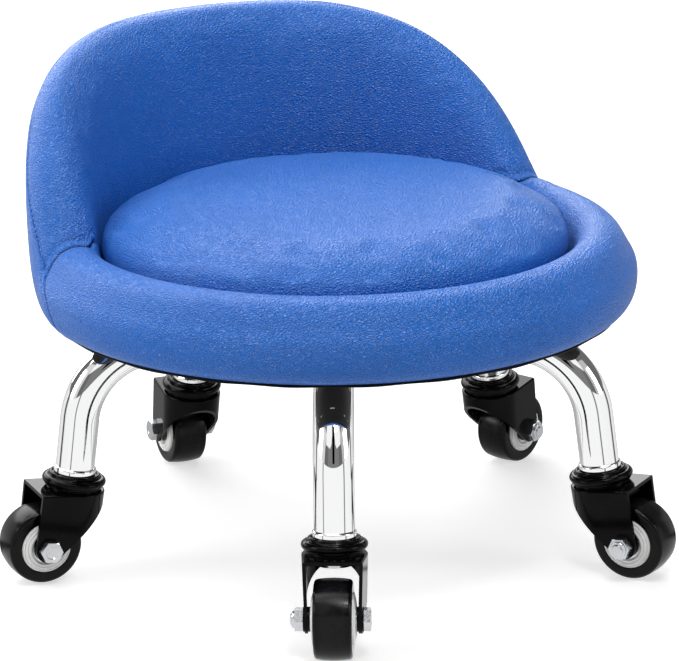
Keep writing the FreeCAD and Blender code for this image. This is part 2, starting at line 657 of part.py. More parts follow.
def make_wheel_bearings():
    outside = make_bearing()
    outside.translate(VECTOR(0, 0, CORE_HALF_WIDTH - 0.75 - BEARING_WIDTH))
    inside = outside.mirror(ORIGIN, UP)
    return group([to_wheel(outside), to_wheel(inside)])


def make_axle_bolt():
    head = hexagon(HEX_FLATS, HEAD_HEIGHT, 0.6)
    dimple = revolved([(0, HEAD_HEIGHT - 0.4), (3.9, HEAD_HEIGHT - 0.4), (4.4, HEAD_HEIGHT + 0.1),
                       (4.4, HEAD_HEIGHT + 1), (0, HEAD_HEIGHT + 1)])
    head = head.cut(dimple)
    seat = FORK_BOSS_OUTER + 0.05
    end = -2 * seat - NUT_HEIGHT - 2.6
    shank = revolved([(0, end), (AXLE_RADIUS - 0.7, end), (AXLE_RADIUS, end + 0.7),
                      (AXLE_RADIUS, 0), (0, 0)])
    bolt = head.fuse(shank).removeSplitter()
    bolt.translate(VECTOR(0, 0, seat))
    return to_wheel(bolt)


def make_lock_nut():
    nut = hexagon(HEX_FLATS, NUT_HEIGHT, 0.6)
    crown = revolved([(0, 0), (5.4, 0), (5.4, NUT_HEIGHT + 0.8),
                      (4.6, NUT_HEIGHT + 1.6, 5.17, NUT_HEIGHT + 1.37), (0, NUT_HEIGHT + 1.6)])
    nut = nut.fuse(crown).removeSplitter()
    nut = nut.cut(disc(AXLE_RADIUS + 0.03, -1, NUT_HEIGHT + 3))
    nut.rotate(ORIGIN, VECTOR(1, 0, 0), 180)
    nut.translate(VECTOR(0, 0, -FORK_BOSS_OUTER - 0.05))
    return to_wheel(nut)


# ---- write every piece --------------------------------------------------------------------------
os.makedirs("parts", exist_ok=True)

export(make_hub_core(), "hub_core")
export(make_hub_plate(), "hub_plate")
export(make_base_bolts(), "base_bolts")
export(make_swivel_bottom_plate(), "swivel_bottom_plate")
export(make_swivel_pivot(), "swivel_pivot")
export(make_swivel_balls(), "swivel_balls")
export(make_swivel_top_plate(), "swivel_top_plate")
export(make_seat_bolts(), "seat_bolts")
export(make_t_nuts(), "t_nuts")
export(make_seat_board(), "seat_board")
export(make_back_board(), "back_board")
export(make_cushion_board(), "cushion_board")
export(make_board_screws(), "board_screws")
export(make_dust_cover(), "dust_cover")
export(make_back_pad(), "back_pad")
export(make_rim_pad(), "rim_pad")
export(make_seat_cushion(), "seat_cushion")

leg = make_leg()
race_cap = make_race_cap()
fork = make_fork()
tyre = to_wheel(make_tyre())
wheel_core = to_wheel(make_wheel_core())
wheel_bearings = make_wheel_bearings()
axle_bolt = make_axle_bolt()
lock_nut = make_lock_nut()
for number, (angle, turn) in enumerate(zip(LEG_ANGLES, CASTER_TURNS), 1):
    turned_leg = leg.copy()
    turned_leg.rotate(ORIGIN, UP, angle)
    export(turned_leg, "leg_%d" % number)
    export(to_caster(race_cap, angle), "race_cap_%d" % number)
    export(to_caster(fork, angle, turn), "fork_%d" % number)
    export(to_caster(tyre, angle, turn), "tyre_%d" % number)
    export(to_caster(wheel_core, angle, turn), "wheel_core_%d" % number)
    export(to_caster(wheel_bearings, angle, turn), "wheel_bearings_%d" % number)
    export(to_caster(axle_bolt, angle, turn), "axle_bolt_%d" % number)
    export(to_caster(lock_nut, angle, turn), "lock_nut_%d" % number)

collar = make_collar()
stem = make_stem()
ball_set = group(make_ball_set())
export(group([to_caster(collar, angle) for angle in LEG_ANGLES]), "leg_collars")
export(group([to_caster(stem, angle) for angle in LEG_ANGLES]), "caster_stems")
ball_sets = [to_caster(ball_set, angle) for angle in LEG_ANGLES]
export(group([ball for balls in ball_sets for ball in balls.Solids]), "caster_balls")
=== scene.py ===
import json
import math

import bmesh
import bpy
import numpy as np
from mathutils import Matrix, Vector
from mathutils.bvhtree import BVHTree


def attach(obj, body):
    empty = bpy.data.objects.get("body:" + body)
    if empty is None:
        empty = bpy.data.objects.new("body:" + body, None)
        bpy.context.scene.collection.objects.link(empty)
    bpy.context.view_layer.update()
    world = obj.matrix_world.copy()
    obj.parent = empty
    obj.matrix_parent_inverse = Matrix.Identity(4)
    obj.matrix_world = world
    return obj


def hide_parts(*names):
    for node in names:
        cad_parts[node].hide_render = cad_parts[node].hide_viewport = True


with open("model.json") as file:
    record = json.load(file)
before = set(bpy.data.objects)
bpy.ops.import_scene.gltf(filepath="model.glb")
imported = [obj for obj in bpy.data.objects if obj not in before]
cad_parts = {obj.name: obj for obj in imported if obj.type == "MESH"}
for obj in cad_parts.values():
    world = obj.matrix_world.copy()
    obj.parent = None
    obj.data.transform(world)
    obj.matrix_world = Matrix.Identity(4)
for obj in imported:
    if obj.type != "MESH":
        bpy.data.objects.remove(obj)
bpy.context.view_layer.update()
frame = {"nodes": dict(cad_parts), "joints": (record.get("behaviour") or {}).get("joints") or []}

# Looks for the rolling mechanic's seat. Metres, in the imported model's frame: origin on the floor
# under the turntable's axis, +Z up, the seat faces -Y. Lengths named _MM are millimetres.
# An angle is in degrees, counted from the back's centre, and a turn is in radians.

MM = 0.001
UP = Vector((0, 0, 1))
NODES = frame["nodes"]
WHEELS = (1, 2, 3, 4, 5)

# ---- upholstery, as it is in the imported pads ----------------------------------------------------
BACK_RISE_MM = 110.8            # how much higher the back is than the front rim
BACK_FALL_POWER = 3.4
BACK_REACH = 77.2               # degrees from the back's centre where the back has come down
BACK_FALL_SOFTNESS = 0.055
# The pad's outline, as control points: a radius and a height on the front rim, each followed by
# what the back adds to it: millimetres to the radius, and a share of its rise to the height.
PAD_POLES_MM = (
    (146, 0, 167.7, 0),         # turned in under the board
    (150, 0, 190, 0.10),        # inside, down to the cushion
    (153, 2, 198.8, 0.45),
    (156, 8.2, 211.8, 0.85),
    (166, 9.2, 218.8, 1.02),    # over the top
    (183, 14.9, 215.8, 1.02),
    (189.8, 15.9, 199.8, 0.90),
    (194.8, 6.4, 194.6, 0.55),  # outside
    (194.8, 3, 175.3, 0.15),
    (184.8, 2, 164.7, 0),       # under the seat
    (168, 0, 166.7, 0),
)
SECTION_POLES = len(PAD_POLES_MM)
SIDE_SEAM_ANGLE = 79.0          # from the back's centre to a side seam, where it starts to slant
EDGE_STEP_MM = 28.0             # length of one outline step where the back's edge seam runs
SEAM_CROWDING = 0.16            # how much closer the grid's lines are at the side seams
EDGE_CROWDING = 0.2             # and along the back's edge seam
CUSHION_RADIUS_MM = 148.2
CUSHION_BOTTOM_MM = 190.0
CUSHION_CLEARANCE_MM = 0.5      # between the cushion and the seat board
CUSHION_CROWN_MM = 235.6
CUSHION_SHOULDER_MM = 231.0
CUSHION_ROLL_MM = 25.0          # radius of its upper edge
CUSHION_TUCK_MM = 7             # how much narrower its foot is
CUSHION_FLAT_MM = 140.7         # radius of its flat underside
CUSHION_SEGMENTS = 144

# ---- the cloth simulation -----------------------------------------------------------------------
CUSHION_PROUD_MM = 2.2          # how much larger than its pad the round cushion starts
COVER_INSET_MM = 0.8            # how much smaller than theirs the back's and rim's covers start
MOST_SWELL = 1.35               # the farthest that a point may move, as a share of those
SIM_FRAMES = 20
SIM_PRESSURE = 4.0
SIM_MASS = 0.3
SIM_STRETCH = 12                # stiffness against stretching and squeezing
SIM_SHEAR = 6
SIM_BENDING = 1.5


def smooth(x, low, high):
    """0 below low, 1 above high, and an S curve between them."""
    x = np.clip((x - low) / (high - low), 0, 1)
    return x * x * (3 - 2 * x)


def bell(x, width):
    return np.exp(-(x / width) ** 2)


# ---- the pads' surface --------------------------------------------------------------------------
def back_lift(angle):
    """From 0 on the front rim to 1 at the back's centre, angle degrees from that centre."""
    away = np.minimum(np.abs(angle), 360 - np.abs(angle))
    fall = 1 - (away / BACK_REACH) ** BACK_FALL_POWER
    return 0.5 * (fall + np.sqrt(fall * fall + BACK_FALL_SOFTNESS ** 2))


def pad_poles(angle):
    """Control points (radius, height) in millimetres of the pad's outline at an angle."""
    lift = back_lift(angle)
    rise = BACK_RISE_MM * lift
    return [(radius + outwards * lift, height + share * rise)
            for radius, outwards, height, share in PAD_POLES_MM]


def pad_surface(step, angle):
    """Points in metres, where step runs round the outline's poles and angle round the seat."""
    radius = height = 0
    for number, (pole_radius, pole_height) in enumerate(pad_poles(angle)):
        x = np.abs((step - number + SECTION_POLES / 2) % SECTION_POLES - SECTION_POLES / 2)
        near = (4 - 6 * x ** 2 + 3 * x ** 3) / 6
        far = np.clip(2 - x, 0, None) ** 3 / 6
        weight = np.where(x < 1, near, far)
        radius = radius + weight * pole_radius
        height = height + weight * pole_height
    turn = np.radians(90 + angle)
    return np.stack([radius * np.cos(turn), radius * np.sin(turn), height], -1) * MM


def side_seam(step):
    """Degrees from the back's centre to a side seam: it slants forward down the outside."""
    inside = 4.5 * (1 - smooth(step, 2.6, 3.9))
    outside = 7.0 * smooth(step, 6.0, 8.2) * (1 - smooth(step, 9.5, 10.8))
    under = 4.5 * smooth(step, 9.5, 10.8)
    return SIDE_SEAM_ANGLE - inside + outside - under


def edge_seam(angle):
    """Where round the outline the back's edge seam runs: lower where it nears the rim."""
    return 5.45 + 0.55 * smooth(np.abs(angle), 54.0, 67.0)


def stretched(x, share):
    """From -1 to 1, with steps share times as long in the middle."""
    return share * x + (1 - share) * x ** 3


def crowded(x, share):
    """From -1 to 1, with steps share times as long at both ends."""
    return share * x + (1 - share) * np.sin(x * math.pi / 2)


def back_grid(rows, columns):
    """Steps and angles of a grid over the back, from side seam to side seam."""
    along = crowded(np.linspace(-1, 1, rows), SEAM_CROWDING)[:, None]
    around = stretched(np.linspace(-1, 1, columns, endpoint=False), EDGE_CROWDING)[None, :]
    step = (edge_seam(along * SIDE_SEAM_ANGLE) + SECTION_POLES / 2 * around) % SECTION_POLES
    angle = along * side_seam(step)
    return step, angle


def rim_grid(rows, columns):
    """Steps and angles of a grid over the rim, round the front from side seam to side seam."""
    along = crowded(np.linspace(-1, 1, rows), SEAM_CROWDING)[:, None]
    step = np.linspace(0, SECTION_POLES, columns, endpoint=False)[None, :] + 0 * along
    seam = side_seam(step)
    angle = 180 + along * (180 - seam)
    return step, angle


def grid_normals(points):
    """Outward normals of a grid that is closed round its columns."""
    along = np.gradient(points, axis=0)
    around = np.roll(points, -1, 1) - np.roll(points, 1, 1)
    normal = np.cross(along, around)
    normal /= np.linalg.norm(normal, axis=-1, keepdims=True) + 1e-12
    middle = points.mean(1, keepdims=True)
    if ((points - middle) * normal).sum() < 0:
        normal = -normal
    return normal


def run_lengths(points, axis):
    """Millimetres from the first point to each point, along the grid's rows or columns."""
    steps = np.linalg.norm(np.diff(points, axis=axis), axis=-1) / MM
    start = np.zeros_like(np.take(steps, [0], axis))
    return np.concatenate([start, np.cumsum(steps, axis)], axis)


def tube_faces(rows, columns):
    """Quads of a grid closed round its columns, with a fan on each end."""
    faces = []
    for row in range(rows - 1):
        for column in range(columns):
            after = (column + 1) % columns
            faces.append((row * columns + column, row * columns + after,
                          (row + 1) * columns + after, (row + 1) * columns + column))
    for row, centre in ((0, rows * columns), (rows - 1, rows * columns + 1)):
        for column in range(columns):
            here, there = row * columns + column, row * columns + (column + 1) % columns
            faces.append((there, here, centre) if row == 0 else (here, there, centre))
    return faces


# ---- mesh helpers -------------------------------------------------------------------------------
def add_piece(name, points, faces, material):
    mesh = bpy.data.meshes.new(name)
    mesh.from_pydata([tuple(p) for p in points], [], faces)
    mesh.validate()
    mesh.shade_smooth()
    mesh.materials.append(material)
    piece = bpy.data.objects.new(name, mesh)
    bpy.context.scene.collection.objects.link(piece)
    return piece


def coordinates(mesh):
    flat = np.zeros(len(mesh.vertices) * 3)
    mesh.vertices.foreach_get("co", flat)
    return flat.reshape(-1, 3)


def face_outwards(piece):
    """Turn every face of a closed mesh to the outside."""
    made = bmesh.new()
    made.from_mesh(piece.data)
    bmesh.ops.recalc_face_normals(made, faces=made.faces)
    made.to_mesh(piece.data)
    made.free()


def inflate(piece, held, most_mm):
    """Blow a closed cover up like cloth round foam, held where it is sewn or stapled."""
    pins = piece.vertex_groups.new(name="held")
    for index, weight in enumerate(held):
        if weight > 0:
            pins.add([index], float(weight), "REPLACE")
    cloth = piece.modifiers.new("cloth", "CLOTH")
    settings = cloth.settings
    settings.quality = 6
    settings.mass = SIM_MASS
    settings.tension_stiffness = SIM_STRETCH
    settings.compression_stiffness = SIM_STRETCH
    settings.shear_stiffness = SIM_SHEAR
    settings.bending_stiffness = SIM_BENDING
    settings.vertex_group_mass = "held"
    settings.use_pressure = True
    settings.uniform_pressure_force = SIM_PRESSURE
    settings.effector_weights.gravity = 0
    cloth.collision_settings.use_collision = False
    cloth.point_cache.frame_start = 1
    cloth.point_cache.frame_end = SIM_FRAMES
    before = coordinates(piece.data)
    scene = bpy.context.scene
    for frame_number in range(1, SIM_FRAMES + 1):
        scene.frame_set(frame_number)
    result = piece.evaluated_get(bpy.context.evaluated_depsgraph_get())
    after = coordinates(result.data)
    piece.modifiers.remove(cloth)
    piece.vertex_groups.remove(pins)
    scene.frame_set(1)
    moved = after - before
    length = np.linalg.norm(moved, axis=1, keepdims=True)
    share = np.minimum(1, most_mm * MM / np.maximum(length, 1e-9))
    print(piece.name, "swell mm: mean %.2f, largest %.2f"
          % (length.mean() / MM, length.max() / MM))
    piece.data.vertices.foreach_set("co", (before + moved * share).ravel())
    piece.data.update()


def subdivide(piece):
    modifier = piece.modifiers.new("smooth", "SUBSURF")
    modifier.levels = 1
    modifier.render_levels = 1


# ---- material helpers ---------------------------------------------------------------------------
class Shader:
    """A new material with one principled shader, and short calls to add nodes to it."""

    def __init__(self, name, color, roughness, metallic=0.0):
        self.material = bpy.data.materials.new(name)
        self.material.use_nodes = True
        self.tree = self.material.node_tree
        self.surface = self.tree.nodes["Principled BSDF"]
        self.surface.inputs["Base Color"].default_value = (*color, 1)
        self.surface.inputs["Roughness"].default_value = roughness
        self.surface.inputs["Metallic"].default_value = metallic

    def set(self, **values):
        for name, value in values.items():
            self.surface.inputs[name.replace("_", " ")].default_value = value

    def node(self, kind, links=(), values=(), **settings):
        made = self.tree.nodes.new(kind)
        for name, value in settings.items():
            setattr(made, name, value)
        for name, value in dict(values).items():
            made.inputs[name].default_value = value
        for name, source in dict(links).items():
            self.tree.links.new(source, made.inputs[name])
        return made

    def place(self):
        return self.node("ShaderNodeTexCoord").outputs["Object"]

    def scaled(self, source, scale):
        return self.node("ShaderNodeMapping", {"Vector": source}, {"Scale": scale}).outputs[0]

    def noise(self, source, scale, detail=2.0, rough=0.5):
        return self.node("ShaderNodeTexNoise", {"Vector": source},
                         {"Scale": scale, "Detail": detail, "Roughness": rough}).outputs[0]

    def sum(self, kind, a, b):
        """A math node on two values, each a number or another node's output."""
        made = self.node("ShaderNodeMath", operation=kind)
        for index, value in enumerate((a, b)):
            if isinstance(value, (int, float)):
                made.inputs[index].default_value = value
            else:
                self.tree.links.new(value, made.inputs[index])
        return made.outputs[0]

    def remap(self, source, low, high, new_low, new_high):
        made = self.node("ShaderNodeMapRange", {"Value": source},
                         {"From Min": low, "From Max": high, "To Min": new_low,
                          "To Max": new_high})
        return made.outputs[0]

    def mix(self, share, color_a, color_b):
        made = self.node("ShaderNodeMix", data_type="RGBA")
        self.tree.links.new(share, made.inputs[0])
        for index, value in ((6, color_a), (7, color_b)):
            if isinstance(value, tuple):
                made.inputs[index].default_value = (*value, 1)
            else:
                self.tree.links.new(value, made.inputs[index])
        return made.outputs[2]

    def color(self, output):
        self.tree.links.new(output, self.surface.inputs["Base Color"])

    def roughness(self, output):
        self.tree.links.new(output, self.surface.inputs["Roughness"])

    def bump(self, height, depth_mm, strength=1.0):
        made = self.node("ShaderNodeBump", {"Height": height},
                         {"Strength": strength, "Distance": depth_mm * MM})
        self.tree.links.new(made.outputs[0], self.surface.inputs["Normal"])

    def from_axis(self, centre, axis):
        """Millimetres from a wheel's axle."""
        away = self.node("ShaderNodeVectorMath", {0: self.place()}, {1: centre},
                         operation="SUBTRACT").outputs[0]
        across = self.node("ShaderNodeVectorMath", {0: away}, {1: axis},
                           operation="CROSS_PRODUCT").outputs[0]
        length = self.node("ShaderNodeVectorMath", {0: across}, operation="LENGTH")
        return self.sum("MULTIPLY", length.outputs["Value"], 1 / MM)


# ---- materials ----------------------------------------------------------------------------------
BLUE = (0.003, 0.145, 0.600)
# A deeper blue: random patches of tone, and painted shade in the pebbles' hollows.
DEEP_BLUE_TONE_AND_SHADE = (0.002, 0.082, 0.380)
# Painted shade: the dark blue that the covers' seam grooves are painted, deeper where a groove is
# deeper.
CREASE_SHADE_BLUE = (0.001, 0.012, 0.060)
THREAD_BLUE = (0.04, 0.16, 0.58)
GRAIN_CELLS = 490.0             # the leather's pebbles, in a metre
GRAIN_WANDER = 0.0016           # how far they are bent out of line, in metres
GRAIN_STRETCH = (1.0, 1.0, 1.45)
GRAIN_DEPTH_MM = 0.70


def leather():
    """Royal blue coated leather: wavy pebbles about two millimetres across, with painted shade in
    its seams' grooves and in its pebbles' hollows.
    """
    s = Shader("blue_leather", BLUE, 0.42)
    s.set(Specular_IOR_Level=0.42, Sheen_Weight=0.03, Sheen_Roughness=0.4)
    place = s.place()
    wander = s.node("ShaderNodeTexNoise", {"Vector": place}, {"Scale": 230.0, "Detail": 1.0})
    shifted = s.node("ShaderNodeVectorMath", {0: wander.outputs["Color"]},
                     {1: (0.5, 0.5, 0.5)}, operation="SUBTRACT").outputs[0]
    shifted = s.node("ShaderNodeVectorMath", {0: shifted}, {1: (GRAIN_WANDER,) * 3},
                     operation="MULTIPLY").outputs[0]
    bent = s.node("ShaderNodeVectorMath", {0: place, 1: shifted}, operation="ADD").outputs[0]
    bent = s.scaled(bent, GRAIN_STRETCH)
    cells = s.node("ShaderNodeTexVoronoi", {"Vector": bent}, {"Scale": GRAIN_CELLS},
                   feature="DISTANCE_TO_EDGE").outputs["Distance"]
    pebble = s.remap(cells, 0.0, 0.40, 0.0, 1.0)
    fine = s.noise(place, 2300.0, 2.0)
    patches = s.noise(place, 16.0, 2.0)
    strength = s.remap(patches, 0.32, 0.68, 0.85, 1.0)
    height = s.sum("MULTIPLY", pebble, strength)
    height = s.sum("ADD", height, s.sum("MULTIPLY", fine, 0.04))
    s.bump(height, GRAIN_DEPTH_MM)
    shade = s.mix(s.remap(patches, 0.3, 0.7, 0.0, 0.12), BLUE, DEEP_BLUE_TONE_AND_SHADE)
    # Painted shade: the pebbles' hollows are painted toward the deeper blue.
    shade = s.mix(s.remap(pebble, 0.0, 0.30, 0.70, 0.0), shade, DEEP_BLUE_TONE_AND_SHADE)
    # Painted shade: the seam grooves are painted dark blue, by how deep the cover is sunk there.
    crease_shade = s.node("ShaderNodeAttribute", attribute_name="crease_shade").outputs["Fac"]
    s.color(s.mix(s.remap(crease_shade, 0.1, 0.8, 0.0, 0.9), shade, CREASE_SHADE_BLUE))
    s.roughness(s.remap(pebble, 0.1, 0.9, 0.40, 0.27))
    return s.material


def thread():
    """Blue sewing thread, twisted."""
    s = Shader("blue_thread", THREAD_BLUE, 0.5)
    s.set(Sheen_Weight=0.3)
    twist = s.node("ShaderNodeTexWave", {"Vector": s.place()},
                   {"Scale": 900.0, "Distortion": 1.0})
    s.bump(twist.outputs["Color"], 0.06, 0.6)
    s.color(s.mix(s.noise(s.place(), 1500.0), THREAD_BLUE, (0.09, 0.25, 0.70)))
    return s.material


def chrome():
    """Bright chrome plate, with the faint ripple of a bent tube."""
    s = Shader("chrome", (0.90, 0.91, 0.92), 0.035, 1.0)
    ripple = s.noise(s.scaled(s.place(), (1, 1, 0.35)), 26.0, 1.0)
    s.bump(ripple, 0.10, 0.35)
    s.roughness(s.remap(s.noise(s.place(), 90.0, 3.0), 0.35, 0.75, 0.02, 0.07))
    s.color(s.mix(s.noise(s.place(), 14.0, 2.0), (0.93, 0.935, 0.94), (0.97, 0.97, 0.975)))
    return s.material


def black_paint():
    """Gloss black enamel on pressed steel, with a faint orange peel."""
    s = Shader("black_paint", (0.002, 0.002, 0.002), 0.16)
    s.set(Specular_IOR_Level=0.09)
    peel = s.noise(s.place(), 420.0, 2.0)
    s.bump(peel, 0.05, 0.5)
    s.roughness(s.remap(s.noise(s.place(), 70.0, 4.0), 0.3, 0.7, 0.07, 0.13))
    s.color(s.mix(s.remap(s.noise(s.place(), 55.0, 5.0), 0.45, 0.8, 0.0, 1.0),
                  (0.0015, 0.0015, 0.002), (0.005, 0.005, 0.0055)))
    return s.material


def steel(name, color, roughness, grain):
    """Zinc plated or polished steel, with a fine grain across its surface."""
    s = Shader(name, color, roughness, 1.0)
    streaks = s.noise(s.scaled(s.place(), (1, 1, grain)), 700.0, 3.0)
    s.bump(streaks, 0.008, 0.4)
    s.roughness(s.remap(streaks, 0.3, 0.7, roughness - 0.05, roughness + 0.05))
    dull = tuple(0.82 * c for c in color)
    s.color(s.mix(s.remap(s.noise(s.place(), 90.0, 3.0), 0.42, 0.72, 0.0, 0.5), color, dull))
    return s.material


PLY_THICKNESS = 0.0014


def plywood():
    """Birch plywood: wavy grain on its faces and its plies on its edges."""
    s = Shader("plywood", (0.55, 0.38, 0.21), 0.65)
    place = s.place()
    warp = s.noise(s.scaled(place, (2.0, 0.35, 2.0)), 22.0, 4.0, 0.6)
    rings = s.sum("SINE", s.sum("MULTIPLY", warp, 46.0), 0.0)
    grain = s.noise(s.scaled(place, (1.0, 0.06, 1.0)), 900.0, 2.0)
    plies = s.node("ShaderNodeSeparateXYZ", {0: place}).outputs[2]
    plies = s.sum("SINE", s.sum("MULTIPLY", plies, math.pi / PLY_THICKNESS), 0.0)
    wood = s.mix(s.remap(rings, -1.0, 1.0, 0.0, 0.8), (0.62, 0.44, 0.26), (0.45, 0.29, 0.15))
    wood = s.mix(s.remap(grain, 0.35, 0.7, 0.0, 0.5), wood, (0.38, 0.24, 0.12))
    s.color(s.mix(s.remap(plies, -0.3, 0.3, 0.0, 0.22), wood, (0.33, 0.2, 0.1)))
    s.bump(grain, 0.12, 0.5)
    s.roughness(s.remap(grain, 0.3, 0.7, 0.55, 0.75))
    return s.material


def lining():
    """Black non-woven cloth, pressed in small dimples."""
    s = Shader("lining", (0.005, 0.005, 0.006), 0.9)
    s.set(Sheen_Weight=0.1, Sheen_Roughness=0.5, Specular_IOR_Level=0.2)
    turned = s.node("ShaderNodeMapping", {"Vector": s.place()},
                    {"Rotation": (0.0, 0.0, math.radians(45)), "Scale": (1.0, 1.0, 0.0)})
    dots = s.node("ShaderNodeTexVoronoi", {"Vector": turned.outputs[0]},
                  {"Scale": 620.0, "Randomness": 0.12}).outputs["Distance"]
    fibres = s.noise(s.place(), 2400.0, 3.0)
    s.bump(s.sum("ADD", dots, s.sum("MULTIPLY", fibres, 0.5)), 0.2, 0.7)
    s.color(s.mix(fibres, (0.004, 0.004, 0.0045), (0.012, 0.012, 0.013)))
    return s.material


TREAD_EDGE_MM = 24.2            # radius where the tyre starts to touch the floor
TREAD_WORN_MM = 24.7
CORE_RING_PITCH_MM = 2.1
RACE_RING_PITCH_MM = 0.35
SEAL_INNER_MM = 5.52
SEAL_OUTER_MM = 8.70


def tread(number, centre, axis):
    """Gloss black moulded tyre, a little duller where it rolls."""
    s = Shader("tread_%d" % number, (0.002, 0.002, 0.002), 0.15)
    s.set(Specular_IOR_Level=0.16)
    radius = s.from_axis(centre, axis)
    rolling = s.remap(radius, TREAD_EDGE_MM, TREAD_WORN_MM, 0.0, 1.0)
    marks = s.noise(s.place(), 240.0, 4.0)
    s.roughness(s.sum("ADD", s.remap(marks, 0.3, 0.7, 0.08, 0.16),
                      s.sum("MULTIPLY", rolling, 0.10)))
    s.color(s.mix(s.sum("MULTIPLY", rolling, marks),
                  (0.0015, 0.0015, 0.002), (0.010, 0.010, 0.011)))
    s.bump(marks, 0.03, 0.5)
    return s.material


def wheel_white(number, centre, axis):
    """White moulded core, its face turned in fine rings."""
    s = Shader("wheel_white_%d" % number, (0.80, 0.80, 0.78), 0.28)
    s.set(Coat_Weight=0.2, Coat_Roughness=0.15, Subsurface_Weight=0.05,
          Subsurface_Radius=(0.002, 0.002, 0.002))
    radius = s.from_axis(centre, axis)
    rings = s.sum("SINE", s.sum("MULTIPLY", radius, 2 * math.pi / CORE_RING_PITCH_MM), 0.0)
    s.bump(rings, 0.06, 0.6)
    lines = s.remap(rings, 0.86, 0.99, 0.0, 0.75)
    white = s.mix(s.remap(s.noise(s.place(), 130.0, 4.0), 0.5, 0.8, 0.0, 0.2),
                  (0.90, 0.90, 0.885), (0.74, 0.74, 0.72))
    s.color(s.mix(lines, white, (0.22, 0.22, 0.22)))
    s.roughness(s.remap(s.noise(s.place(), 90.0, 2.0), 0.3, 0.7, 0.22, 0.34))
    return s.material


def bearing(number, centre, axis):
    """Polished races with a black rubber seal sunk between them."""
    s = Shader("bearing_%d" % number, (0.62, 0.62, 0.64), 0.2, 1.0)
    radius = s.from_axis(centre, axis)
    over = s.sum("GREATER_THAN", radius, SEAL_INNER_MM)
    under = s.sum("LESS_THAN", radius, SEAL_OUTER_MM)
    seal = s.sum("MULTIPLY", over, under)
    turned = s.sum("SINE", s.sum("MULTIPLY", radius, 2 * math.pi / RACE_RING_PITCH_MM), 0.0)
    s.color(s.mix(seal, (0.66, 0.66, 0.68), (0.012, 0.012, 0.013)))
    s.tree.links.new(s.sum("SUBTRACT", 1.0, seal), s.surface.inputs["Metallic"])
    s.roughness(s.sum("ADD", s.sum("MULTIPLY", seal, 0.25), 0.2))
    s.bump(turned, 0.02, 0.4)
    return s.material


def dress(node, material):
    """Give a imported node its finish."""
    slots = NODES[node].material_slots
    if not slots:
        NODES[node].data.materials.append(material)
    for slot in slots:
        slot.material = material


def dress_hardware():
    """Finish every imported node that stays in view."""
    black = black_paint()
    shiny = chrome()
    zinc = steel("zinc", (0.66, 0.67, 0.69), 0.22, 0.2)
    plate = steel("plate_steel", (0.50, 0.50, 0.52), 0.38, 1.0)
    balls = steel("ball_steel", (0.66, 0.66, 0.68), 0.14, 1.0)
    wood = plywood()
    for node in ("hub_core", "hub_plate"):
        dress(node, black)
    for node in ("base_bolts", "swivel_pivot", "caster_stems", "seat_bolts", "t_nuts",
                 "board_screws"):
        dress(node, zinc)
    for node in ("swivel_bottom_plate", "swivel_top_plate"):
        dress(node, plate)
    for node in ("swivel_balls", "caster_balls"):
        dress(node, balls)
    for node in ("seat_board", "back_board", "cushion_board"):
        dress(node, wood)
    dress("leg_collars", shiny)
    joints = {joint["name"]: joint for joint in frame["joints"]}
    for number in WHEELS:
        spin = joints["wheel_%d_spin" % number]
        centre, axis = tuple(spin["pos_m"]), tuple(spin["axis"])
        dress("leg_%d" % number, shiny)
        dress("race_cap_%d" % number, black)
        dress("fork_%d" % number, black)
        dress("axle_bolt_%d" % number, zinc)
        dress("lock_nut_%d" % number, zinc)
        dress("tyre_%d" % number, tread(number, centre, axis))
        dress("wheel_core_%d" % number, wheel_white(number, centre, axis))
        dress("wheel_bearings_%d" % number, bearing(number, centre, axis))


# ---- covers -------------------------------------------------------------------------------------
SEAM_HELD_MM = 1.0              # how near a side seam the cover is held
GROOVE_DEPTH_MM = 1.8           # a side seam's groove
GROOVE_WIDTH_MM = 0.95
DARKEST_DEPTH_MM = 1.3          # how deep a groove must be for its painted shade to be darkest
FELL_WIDTH_MM = 6.0             # from a side seam to its topstitching
FELL_RISE_MM = 0.75             # the folded leather under that strip
STITCH_DIP_MM = 0.8             # where that topstitching pulls the leather in
EDGE_DIP_MM = 1.1               # the back's edge seam
TOPSTITCH_DIP_MM = 0.35         # and the topstitching beside it
TOPSTITCH_INSET_MM = 2.4        # from the edge seam to its topstitching
PANEL_RISE_MM = 0.5             # the back's outer panel, along the edge seam
BACK_PUFF_MM = 0.5              # how far the padding stands out beside a side seam
RIM_PUFF_MM = 0.8


